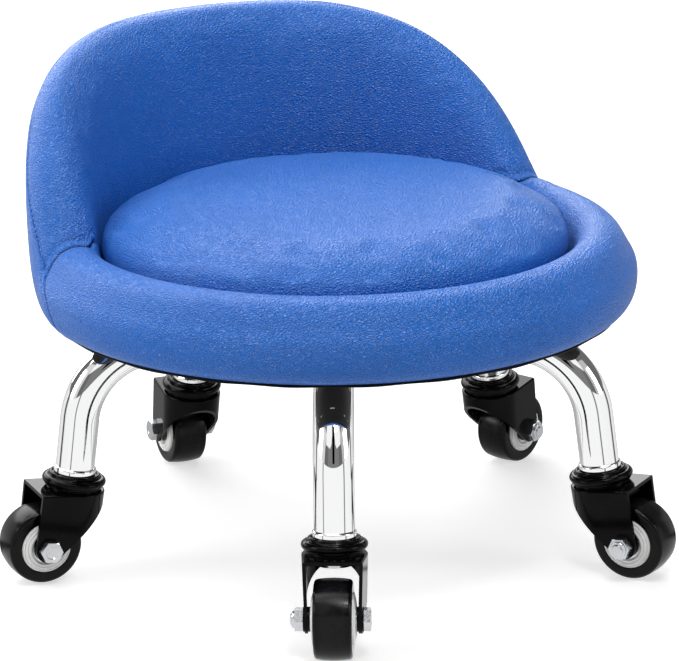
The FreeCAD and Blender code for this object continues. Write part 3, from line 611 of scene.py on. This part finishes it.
def sewn_cover(name, grid, node, material, shape_seams, held_low):
    """A pad's cover on a grid closed round its columns, blown up and then creased at its seams.

    It starts COVER_INSET_MM inside the pad, and what it didn't swell is added at the end.
    """
    step, angle = grid
    final = pad_surface(step, angle)
    normal = grid_normals(final)
    rows, columns = step.shape
    inset = COVER_INSET_MM * MM
    start = final - normal * inset
    ends = np.stack([start[0].mean(0), start[-1].mean(0)])
    piece = add_piece(name, np.concatenate([start.reshape(-1, 3), ends]),
                      tube_faces(rows, columns), material)
    face_outwards(piece)
    from_end = np.minimum(run_lengths(final, 0), run_lengths(final[::-1], 0)[::-1])
    held = np.where(from_end < SEAM_HELD_MM, 1.0, 0.0)
    held = np.maximum(held, held_low(step, angle))
    inflate(piece, np.concatenate([held.ravel(), [1.0, 1.0]]), MOST_SWELL * COVER_INSET_MM)
    skin = coordinates(piece.data)[:-2].reshape(rows, columns, 3)
    swollen = ((skin - start) * normal).sum(-1).mean()
    skin = skin + normal * (inset - swollen)
    outward = grid_normals(skin)
    relief = shape_seams(from_end, skin)
    skin = skin + outward * relief[..., None] * MM
    ends = np.stack([skin[0].mean(0), skin[-1].mean(0)])
    piece.data.vertices.foreach_set("co", np.concatenate([skin.reshape(-1, 3), ends]).ravel())
    piece.data.update()
    # Painted shade for the seams: a share from 0 to 1 by each groove's depth, and 1 at the two
    # hidden end points.
    shadow = np.clip(-relief / DARKEST_DEPTH_MM, 0, 1).ravel()
    crease_shade = piece.data.attributes.new("crease_shade", "FLOAT", "POINT")
    crease_shade.data.foreach_set("value", np.concatenate([shadow, [1.0, 1.0]]))
    subdivide(piece)
    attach(piece, "seat")
    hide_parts(node)
    return piece


def under_edge(step):
    """1 where the cover is turned under the board, or goes down beside it, and 0 elsewhere."""
    turned = (step % SECTION_POLES > 8.9) | (step % SECTION_POLES < 1.6)
    return np.where(turned, 1.0, 0.0)


def side_groove(from_end):
    return -GROOVE_DEPTH_MM * bell(from_end, GROOVE_WIDTH_MM)


def back_creases(from_end, skin):
    """How far the back's cover stands out, in millimetres, near the seams that it is part of."""
    middle = skin.shape[1] // 2
    around = run_lengths(skin, 1)
    from_edge = around - around[:, middle:middle + 1]
    fell = FELL_RISE_MM * smooth(from_end, 0.4, 1.6) * (1 - smooth(from_end, 5.2, 7.2))
    stitched = -STITCH_DIP_MM * bell(from_end - FELL_WIDTH_MM - 0.5, 0.9)
    puff = BACK_PUFF_MM * smooth(from_end, 7.0, 10.0) * (1 - smooth(from_end, 12.0, 26.0))
    clear = smooth(from_end, 0.0, 3.0)
    topstitched = TOPSTITCH_DIP_MM * bell(from_edge + TOPSTITCH_INSET_MM, 0.8)
    edge = -EDGE_DIP_MM * bell(from_edge, 1.0) - topstitched
    panel = PANEL_RISE_MM * bell(from_edge - 5.0, 4.5)
    return side_groove(from_end) + fell + stitched + puff + clear * (edge + panel)


def rim_creases(from_end, skin):
    """How far the rim's cover stands out, in millimetres, near its two side seams."""
    puff = RIM_PUFF_MM * smooth(from_end, 0.5, 3.5) * (1 - smooth(from_end, 6.0, 24.0))
    return side_groove(from_end) + puff


def back_held(step, angle):
    on_seam = np.abs(step - edge_seam(angle)) * EDGE_STEP_MM < 0.9
    return np.maximum(under_edge(step), np.where(on_seam, 0.75, 0.0))


def rim_held(step, angle):
    return under_edge(step)


def cushion_profile():
    """(radius, height) in millimetres from the top's middle over the edge to the bottom's."""
    roll = CUSHION_ROLL_MM
    shoulder = CUSHION_RADIUS_MM - roll
    bulge = CUSHION_CROWN_MM - CUSHION_SHOULDER_MM
    bottom = CUSHION_BOTTOM_MM + CUSHION_CLEARANCE_MM
    top = [(r, CUSHION_CROWN_MM - bulge * (r / shoulder) ** 2)
           for r in np.linspace(0, shoulder, 40, endpoint=False)]
    bend = [(shoulder + roll * math.sin(a), CUSHION_SHOULDER_MM - roll + roll * math.cos(a))
            for a in np.linspace(0, math.pi / 2, 22, endpoint=False)]
    low = CUSHION_SHOULDER_MM - roll
    side = [(CUSHION_RADIUS_MM - CUSHION_TUCK_MM * smooth(low - h, 0, low - CUSHION_BOTTOM_MM), h)
            for h in np.linspace(low, bottom, 8, endpoint=False)]
    base = [(r, bottom) for r in np.linspace(CUSHION_FLAT_MM, 0, 16)]
    return np.array(top + bend + side + base)


def cushion_skin():
    """Points in millimetres and faces of the cushion, turned from its profile.

    Where it is simulated, it starts CUSHION_PROUD_MM outside its pad, apart from its underside.
    """
    profile = cushion_profile()
    proud = np.zeros_like(profile)
    run = np.gradient(profile, axis=0)
    outward = np.stack([-run[:, 1], run[:, 0]], 1)
    outward /= np.linalg.norm(outward, axis=1, keepdims=True)
    proud = outward * CUSHION_PROUD_MM * (profile[:, 1:] > CUSHION_BOTTOM_MM + 1)
    turn = np.linspace(0, 2 * math.pi, CUSHION_SEGMENTS, endpoint=False)
    rings = (profile + proud)[1:-1]
    points = [[0, 0, profile[0, 1] + proud[0, 1]]]
    for radius, height in rings:
        points += [[radius * math.cos(a), radius * math.sin(a), height] for a in turn]
    points.append([0, 0, CUSHION_BOTTOM_MM + CUSHION_CLEARANCE_MM])
    faces = []
    last = len(points) - 1
    foot = 1 + (len(rings) - 1) * CUSHION_SEGMENTS
    for column in range(CUSHION_SEGMENTS):
        after = (column + 1) % CUSHION_SEGMENTS
        faces.append((0, 1 + column, 1 + after))
        for upper in range(1, foot, CUSHION_SEGMENTS):
            lower = upper + CUSHION_SEGMENTS
            faces.append((upper + column, lower + column, lower + after, upper + after))
        faces.append((foot + after, foot + column, last))
    return points, faces


def cushion_cover(material):
    """The round cushion: swollen at its middle, pulled in at its foot."""
    points, faces = cushion_skin()
    piece = add_piece("seat_cushion_cover", np.array(points) * MM, faces, material)
    face_outwards(piece)
    height = coordinates(piece.data)[:, 2]
    inflate(piece, np.where(height < (CUSHION_BOTTOM_MM + 3) * MM, 1.0, 0.0),
            MOST_SWELL * CUSHION_PROUD_MM)
    subdivide(piece)
    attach(piece, "seat")
    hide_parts("seat_cushion")


# ---- stitching ----------------------------------------------------------------------------------
THREAD_RADIUS_MM = 0.34
THREAD_SIDES = 6
STITCH_RINGS = 6                # along one stitch
SIDE_STITCH_MM = (3.6, 2.3)     # from stitch to stitch, and how much of that is thread in view
EDGE_STITCH_MM = (3.8, 2.4)
SIDE_ROW_STEPS = (2.75, 8.7)    # where round the outline the rows beside the side seams run
EDGE_ROW_ANGLE = 76.5           # where the row beside the edge seam ends, on either side


def surface_tree(piece):
    """A piece's finished surface, to find the nearest point on."""
    result = piece.evaluated_get(bpy.context.evaluated_depsgraph_get())
    mesh = result.data
    return BVHTree.FromPolygons([v.co[:] for v in mesh.vertices],
                                [p.vertices[:] for p in mesh.polygons])


def thread_ends(base):
    """The two end faces of a stitch whose points start at base."""
    last = base + (STITCH_RINGS - 1) * THREAD_SIDES
    return [[base + side for side in reversed(range(THREAD_SIDES))],
            [last + side for side in range(THREAD_SIDES)]]


def stitch_row(name, tree, route, stitch_mm, material):
    """Short threads sunk into a cover at both ends, one after another along a route."""
    pitch_mm, length_mm = stitch_mm
    along = np.concatenate([[0], np.cumsum(np.linalg.norm(np.diff(route, axis=0), axis=1))]) / MM
    points, faces = [], []
    for number in range(int((along[-1] - length_mm) / pitch_mm)):
        places = []
        for ring in range(STITCH_RINGS):
            at = number * pitch_mm + 1.0 + length_mm * ring / (STITCH_RINGS - 1)
            places.append(Vector([np.interp(at, along, route[:, k]) for k in range(3)]))
        ahead = (places[-1] - places[0]).normalized()
        for ring, spot in enumerate(places):
            found, normal, _, _ = tree.find_nearest(spot)
            across = ahead.cross(normal).normalized()
            arch = math.sin(math.pi * ring / (STITCH_RINGS - 1))
            centre = found + normal * THREAD_RADIUS_MM * MM * (1.05 * arch - 0.75)
            girth = THREAD_RADIUS_MM * MM * (0.7 + 0.3 * arch)
            for side in range(THREAD_SIDES):
                turn = 2 * math.pi * side / THREAD_SIDES
                points.append(centre + across * girth * math.cos(turn)
                              + normal * girth * math.sin(turn))
        base = number * THREAD_SIDES * STITCH_RINGS
        for ring in range(STITCH_RINGS - 1):
            here = base + ring * THREAD_SIDES
            there = here + THREAD_SIDES
            for side in range(THREAD_SIDES):
                after = (side + 1) % THREAD_SIDES
                faces.append((here + side, here + after, there + after, there + side))
        faces += thread_ends(base)
    piece = add_piece(name, points, faces, material)
    face_outwards(piece)
    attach(piece, "seat")


def stitch_back(back, material):
    """The back's topstitching: a row beside each side seam and one beside the edge seam."""
    tree = surface_tree(back)
    step = np.linspace(*SIDE_ROW_STEPS, 160)
    for side, label in ((1, "left"), (-1, "right")):
        seam = side_seam(step)
        radius = np.hypot(*pad_surface(step, seam)[:, :2].T) / MM
        angle = seam - np.degrees(FELL_WIDTH_MM / radius)
        stitch_row("side_stitches_" + label, tree, pad_surface(step, side * angle),
                   SIDE_STITCH_MM, material)
    angle = np.linspace(-EDGE_ROW_ANGLE, EDGE_ROW_ANGLE, 400)
    above = edge_seam(angle) - TOPSTITCH_INSET_MM / EDGE_STEP_MM
    stitch_row("edge_stitches", tree, pad_surface(above, angle), EDGE_STITCH_MM, material)


# ---- cloth under the seat, its outer part painted shade -----------------------------------------
# Out to here the black cloth covers the turned-in leather: partly the real cloth, partly a black
# sheet as painted shade under the seat.
CLOTH_OUTER_MM = 184.0
CLOTH_INNER_MM = 103.5
CLOTH_HEIGHT_MM = 165.5         # over the leather's turned-in edge
CLOTH_RISE_MM = 3.3             # how much higher its inner part lies, against the board
CLOTH_THICKNESS_MM = 0.4
CLOTH_BOARD_MM = (118.0, 140.0)  # radii between which it comes down from the board
CLOTH_LEATHER_MM = 170.0        # radius where it lies on the leather
CLOTH_SAG_MM = 0.7              # between those two
CLOTH_PUCKER_MM = 0.55          # at its edge, between staples
CLOTH_LIFT_MM = 0.3
CLOTH_STAPLES = 24
CLOTH_SEGMENTS = 240
HEM_WIDTH_MM = 9.0


def cloth_height(radius, turn):
    """The cloth's middle height, in millimetres: up to the board inside, puckered at staples."""
    inner = 1 - smooth(radius, *CLOTH_BOARD_MM)
    free = CLOTH_BOARD_MM[1]
    span = np.clip((radius - free) / (CLOTH_LEATHER_MM - free), 0, 1)
    sag = CLOTH_SAG_MM * np.sin(math.pi * span)
    wave = 0.5 * (1 - np.cos(CLOTH_STAPLES * turn)) + 0.25 * np.sin(7 * turn + 0.6)
    pucker = CLOTH_PUCKER_MM * wave * smooth(radius, 150.0, CLOTH_OUTER_MM)
    return CLOTH_HEIGHT_MM + CLOTH_RISE_MM * inner - sag - pucker + CLOTH_LIFT_MM


def add_dust_cloth_and_shade(material):
    """The black cloth, one closed skin with a folded hem at its outer edge. Its outer part is
    painted shade.
    """
    half = CLOTH_THICKNESS_MM / 2
    radii = np.concatenate([np.linspace(CLOTH_INNER_MM, CLOTH_OUTER_MM - HEM_WIDTH_MM - 1, 20),
                            np.linspace(CLOTH_OUTER_MM - HEM_WIDTH_MM, CLOTH_OUTER_MM, 6)])
    turn = np.linspace(0, 2 * math.pi, CLOTH_SEGMENTS, endpoint=False)
    rings = [(radius, half) for radius in radii]
    for radius in radii[::-1]:
        hem = half * (2.0 if radius > CLOTH_OUTER_MM - HEM_WIDTH_MM - 0.5 else 1.0)
        rings.append((radius, -hem))
    points = []
    for radius, offset in rings:
        height = cloth_height(np.full(CLOTH_SEGMENTS, radius), turn) + offset
        points += [(radius * math.cos(a), radius * math.sin(a), h)
                   for a, h in zip(turn, height)]
    faces = []
    for row in range(len(rings)):
        here = row * CLOTH_SEGMENTS
        there = (row + 1) % len(rings) * CLOTH_SEGMENTS
        for column in range(CLOTH_SEGMENTS):
            after = (column + 1) % CLOTH_SEGMENTS
            faces.append((here + column, here + after, there + after, there + column))
    piece = add_piece("dust_cloth_and_shade", np.array(points) * MM, faces, material)
    face_outwards(piece)
    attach(piece, "seat")
    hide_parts("dust_cover")
    return piece


# ---- staples under the seat ---------------------------------------------------------------------
STAPLE_RADIUS_MM = 166.0
STAPLE_BELOW = 0.150            # a height under all of the cloth, to look up from
STAPLE_CORNERS_MM = (           # of one staple: along it, outwards, and above the cloth's face
    (-5, -0.6, 0.5), (5, -0.6, 0.5), (5, 0.6, 0.5), (-5, 0.6, 0.5),
    (-4.6, -0.35, -0.35), (4.6, -0.35, -0.35), (4.6, 0.35, -0.35), (-4.6, 0.35, -0.35),
)


def add_staples(cloth, material):
    """The staples that hold the black cloth and the turned-in leather to the seat board."""
    tree = surface_tree(cloth)
    points, faces = [], []
    for number in range(CLOTH_STAPLES):
        turn = 2 * math.pi * number / CLOTH_STAPLES
        outward = Vector((math.cos(turn), math.sin(turn), 0))
        across = UP.cross(outward)
        spot = outward * STAPLE_RADIUS_MM * MM + UP * STAPLE_BELOW
        bottom = tree.ray_cast(spot, UP)[0].z
        for x, y, z in STAPLE_CORNERS_MM:
            flat = outward * STAPLE_RADIUS_MM + across * x + outward * y
            points.append(Vector((flat.x * MM, flat.y * MM, bottom + z * MM)))
        base = len(STAPLE_CORNERS_MM) * number
        faces += [(base, base + 1, base + 2, base + 3), (base + 4, base + 7, base + 6, base + 5)]
        for k in range(4):
            faces.append((base + k, base + 4 + k, base + 4 + (k + 1) % 4, base + (k + 1) % 4))
    piece = add_piece("cover_staples", points, faces, material)
    piece.data.shade_flat()
    face_outwards(piece)
    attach(piece, "seat")


# ---- stage --------------------------------------------------------------------------------------
FLOOR_HALF = 12.0
FLOOR_HEIGHT = -0.0002          # just under the wheels
BOUNCE_HEIGHT = -0.0001


def square(height):
    """The corners of the floor's square."""
    half = FLOOR_HALF
    return [(-half, -half, height), (half, -half, height), (half, half, height),
            (-half, half, height)]


def hide_from(piece, *rays):
    """Keep a piece of the stage out of the named kinds of ray."""
    for ray in rays:
        setattr(piece, "visible_" + ray, False)


def add_floor():
    """A white floor to be seen, and a greyer one that only lights the object from below."""
    s = Shader("floor", (0.93, 0.93, 0.93), 0.7)
    s.set(Specular_IOR_Level=0.0, Emission_Color=(1, 1, 1, 1), Emission_Strength=0.50)
    floor = add_piece("floor", square(FLOOR_HEIGHT), [(0, 1, 2, 3)], s.material)
    hide_from(floor, "diffuse")
    s = Shader("floor_bounce", (0.75, 0.75, 0.75), 1.0)
    s.set(Specular_IOR_Level=0.0)
    bounce = add_piece("floor_bounce", square(BOUNCE_HEIGHT), [(0, 1, 2, 3)], s.material)
    hide_from(bounce, "camera", "glossy", "transmission", "shadow")


def aim_at_seat(thing, place, axis):
    """Stand a light or a card at a place, with one of its axes towards the seat."""
    thing.location = place
    thing.rotation_euler = (STUDIO_MIDDLE - place).to_track_quat(axis, "Y").to_euler()


def add_card(name, place, width, height, shade):
    """A card that only reflections see: a dark one draws a dark line in the chrome."""
    w, h = width / 2, height / 2
    s = Shader(name, (shade,) * 3, 1.0)
    s.set(Specular_IOR_Level=0.0)
    card = add_piece(name, [(-w, -h, 0), (w, -h, 0), (w, h, 0), (-w, h, 0)], [(0, 1, 2, 3)],
                     s.material)
    aim_at_seat(card, place, "Z")
    hide_from(card, "camera", "diffuse", "shadow", "transmission")


def add_glow(name, place, width, height, strength):
    """A pale card that only reflections see: it whitens the chrome and leaves the leather."""
    add_card(name, place, width, height, 0.0)
    shader = bpy.data.materials[name].node_tree.nodes["Principled BSDF"]
    shader.inputs["Emission Color"].default_value = (1, 1, 1, 1)
    shader.inputs["Emission Strength"].default_value = strength


TENT_RADIUS = 0.46
TENT_HEIGHT = 0.17
TENT_BOTTOM = 0.0004
TENT_SEGMENTS = 96
# How bright the tent is at shares of a turn, from straight behind the seat and round to there.
TENT_STRIPES = ((0.0, 0.42), (0.09, 0.50), (0.20, 0.80), (0.235, 0.92), (0.250, 0.06),
                (0.262, 0.06), (0.275, 0.92), (0.36, 0.96), (0.378, 0.96), (0.384, 0.10),
                (0.389, 0.10), (0.395, 0.96), (0.60, 0.96), (0.606, 0.10), (0.612, 0.10),
                (0.62, 0.96), (0.735, 0.92), (0.748, 0.06), (0.760, 0.06), (0.775, 0.92),
                (0.80, 0.80), (0.91, 0.50), (1.0, 0.42))


def add_tent():
    """A low round wall that only reflections see: pale towards the camera, grey behind."""
    facing = math.radians(CAMERA_AZIMUTH - 90.0)
    points, faces = [], []
    for number in range(TENT_SEGMENTS):
        turn = 2 * math.pi * number / TENT_SEGMENTS
        for height in (TENT_BOTTOM, TENT_HEIGHT):
            points.append((TENT_RADIUS * math.cos(turn), TENT_RADIUS * math.sin(turn), height))
        after = (number + 1) % TENT_SEGMENTS
        faces.append((2 * number, 2 * after, 2 * after + 1, 2 * number + 1))
        faces.append((2 * number, 2 * after, 2 * TENT_SEGMENTS))
    points.append((0.0, 0.0, TENT_BOTTOM))
    s = Shader("tent", (0.0, 0.0, 0.0), 1.0)
    s.set(Specular_IOR_Level=0.0, Emission_Color=(1, 1, 1, 1))
    turned = s.node("ShaderNodeMapping", {"Vector": s.place()},
                    {"Rotation": (0.0, 0.0, -facing)}).outputs[0]
    around = s.node("ShaderNodeTexGradient", {"Vector": turned}, gradient_type="RADIAL")
    shades = s.node("ShaderNodeValToRGB", {"Fac": around.outputs["Fac"]})
    stops = shades.color_ramp.elements
    for index, (at, shade) in enumerate(TENT_STRIPES):
        if index < len(stops):
            stop = stops[index]
            stop.position = at
        else:
            stop = stops.new(at)
        stop.color = (shade, shade, shade, 1)
    s.tree.links.new(shades.outputs["Color"], s.surface.inputs["Emission Strength"])
    tent = add_piece("tent", points, faces, s.material)
    hide_from(tent, "camera", "diffuse", "shadow", "transmission")


def add_light(name, place, width, height, power):
    data = bpy.data.lights.new(name, "AREA")
    data.shape = "RECTANGLE"
    data.size = width
    data.size_y = height
    data.energy = power
    light = bpy.data.objects.new(name, data)
    aim_at_seat(light, place, "-Z")
    light.visible_camera = False
    bpy.context.scene.collection.objects.link(light)


# ---- camera and studio --------------------------------------------------------------------------
CAMERA_AZIMUTH = -28.5          # degrees round the seat from its front
CAMERA_ELEVATION = 18.0
CAMERA_ROLL = -0.82
CAMERA_DISTANCE = 2.119
CAMERA_PIVOT = Vector((0, 0, 0.100))
CAMERA_AIM = Vector((0.0081, 0.0108, 0.1411))
CAMERA_LENS = 171.7
SENSOR_WIDTH = 36.0

WORLD_STRENGTH = 0.14
STUDIO_MIDDLE = Vector((0, 0, 0.2))
# Where each light and card stands, to the camera's right of the seat, up and towards the camera,
# its width and height, and then its power in watts, its strength or its shade.
LIGHTS = (
    ("overhead", (-0.6, 2.6, -0.4), 3.0, 3.0, 64.0),
    ("behind", (-0.9, 1.2, -2.2), 3.2, 1.6, 62.0),
    ("left", (-1.8, 0.7, 0.4), 0.7, 1.1, 13.0),
    ("right", (1.8, 0.7, 0.5), 0.7, 1.1, 9.0),
    ("front_top", (0.3, 2.4, 1.2), 1.2, 1.2, 18.0),
    ("spark", (0.3, 2.0, 1.0), 0.2, 0.2, 4.0),
)
GLOWS = (
    ("glow_top", (-0.3, 2.2, -0.6), 2.4, 1.6, 4.0),
    ("glow_front", (0.0, 0.9, 2.7), 3.2, 2.4, 0.20),
    ("glow_left", (-2.2, 0.9, 0.9), 1.6, 2.2, 0.7),
    ("glow_right", (2.2, 0.9, 0.9), 1.6, 2.2, 0.5),
    ("high_left", (-0.95, 2.3, 1.7), 1.5, 1.9, 0.95),
    ("high_right", (0.95, 2.3, 1.7), 1.5, 1.9, 0.95),
)
DARK_CARD = ("dark_high", (0.0, 1.75, 1.9), 0.5, 2.4, 0.0)


def from_viewer(side, height, towards):
    """A place on the camera's side of the seat: to its right, up, and towards the camera."""
    a = math.radians(CAMERA_AZIMUTH)
    right = Vector((math.cos(a), math.sin(a), 0))
    nearer = Vector((math.sin(a), -math.cos(a), 0))
    return right * side + UP * height + nearer * towards


def add_camera():
    """The camera circles the pivot and then looks at the aim, which sets the picture's framing."""
    azimuth, elevation = math.radians(CAMERA_AZIMUTH), math.radians(CAMERA_ELEVATION)
    back = Vector((math.sin(azimuth) * math.cos(elevation),
                   -math.cos(azimuth) * math.cos(elevation), math.sin(elevation)))
    place = CAMERA_PIVOT + back * CAMERA_DISTANCE
    ahead = (CAMERA_AIM - place).normalized()
    right = ahead.cross(UP).normalized()
    above = right.cross(ahead)
    roll = math.radians(CAMERA_ROLL)
    x_axis = right * math.cos(roll) + above * math.sin(roll)
    y_axis = above * math.cos(roll) - right * math.sin(roll)
    turn = Matrix((x_axis, y_axis, -ahead)).transposed()
    data = bpy.data.cameras.new("camera")
    data.sensor_width = SENSOR_WIDTH
    data.lens = CAMERA_LENS
    data.clip_start = 0.05
    data.clip_end = 60.0
    camera = bpy.data.objects.new("camera", data)
    camera.matrix_world = Matrix.Translation(place) @ turn.to_4x4()
    bpy.context.scene.collection.objects.link(camera)
    bpy.context.scene.camera = camera


def add_studio():
    scene = bpy.context.scene
    scene.view_settings.view_transform = "Standard"
    world = bpy.data.worlds.new("studio")
    world.use_nodes = True
    background = world.node_tree.nodes["Background"]
    background.inputs["Color"].default_value = (1, 1, 1, 1)
    background.inputs["Strength"].default_value = WORLD_STRENGTH
    scene.world = world
    for add, rows in ((add_light, LIGHTS), (add_glow, GLOWS), (add_card, (DARK_CARD,))):
        for name, stand, width, height, amount in rows:
            add(name, from_viewer(*stand), width, height, amount)
    add_tent()


# ---- build --------------------------------------------------------------------------------------
dress_hardware()
blue = leather()
back_cover = sewn_cover("back_cover", back_grid(121, 112), "back_pad", blue, back_creases,
                        back_held)
sewn_cover("rim_cover", rim_grid(141, 96), "rim_pad", blue, rim_creases, rim_held)
cushion_cover(blue)
stitch_back(back_cover, thread())
dust_cloth_and_shade = add_dust_cloth_and_shade(lining())
add_staples(dust_cloth_and_shade, steel("staple_steel", (0.7, 0.7, 0.72), 0.3, 1.0))
add_floor()
add_studio()
add_camera()
